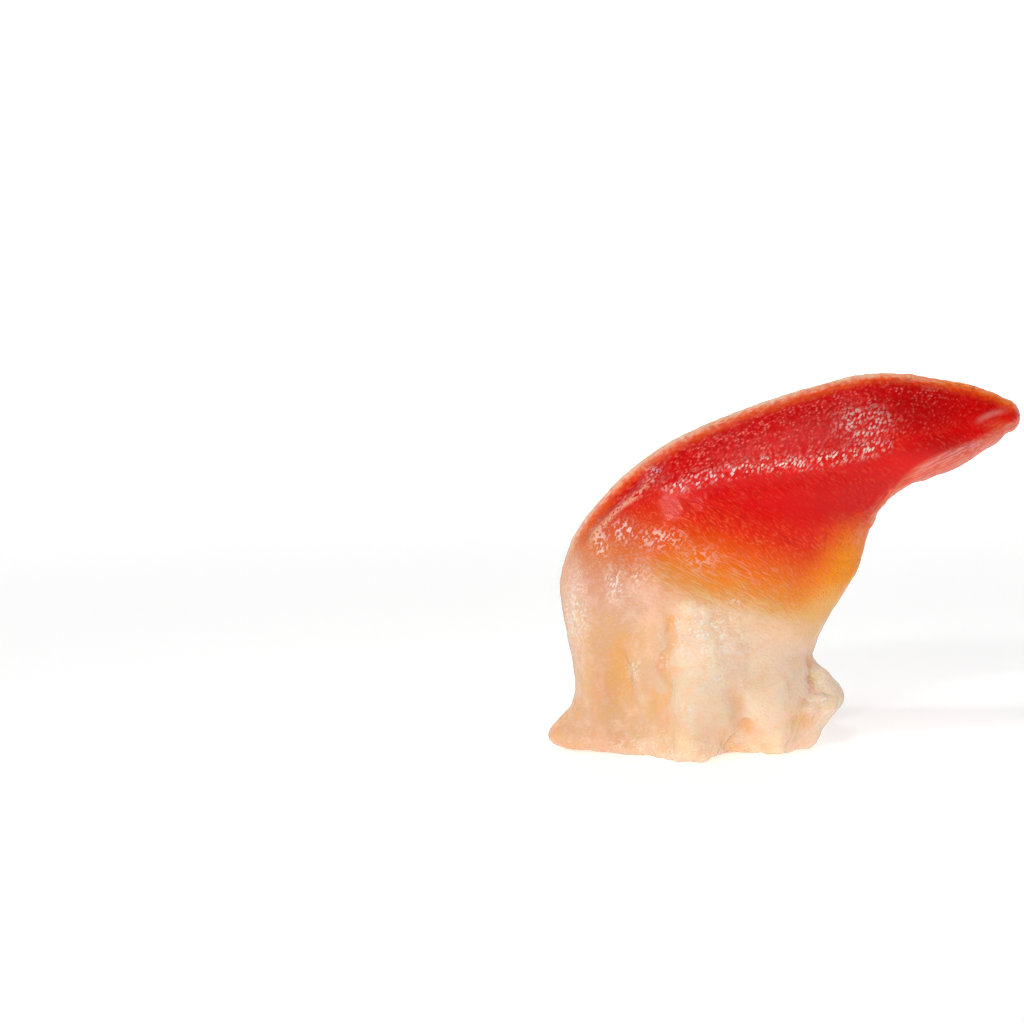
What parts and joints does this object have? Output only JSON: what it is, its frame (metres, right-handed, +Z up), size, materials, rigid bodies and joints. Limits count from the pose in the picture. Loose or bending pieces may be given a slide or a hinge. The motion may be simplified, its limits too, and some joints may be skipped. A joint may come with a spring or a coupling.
{
  "type": "surf clam foot",
  "caption": "Blanched surf clam foot: a flat, pointed tongue of firm flesh, red at the toe and cream at the cut base that it stands on.",
  "frame": {"origin": "under the middle of the foot, on the surface that its cut base stands on", "axes": "+X towards the toe, -Y towards the viewer's flat side, +Z up"},
  "size_m": [0.072, 0.0258, 0.0577],
  "materials": {
    "clam_flesh": "moist, firm flesh with a soft gloss, deep red at the toe through orange to cream at the base"
  },
  "bodies": {
    "root": {"surf_clam_foot": "clam_flesh"}
  },
  "joints": []
}
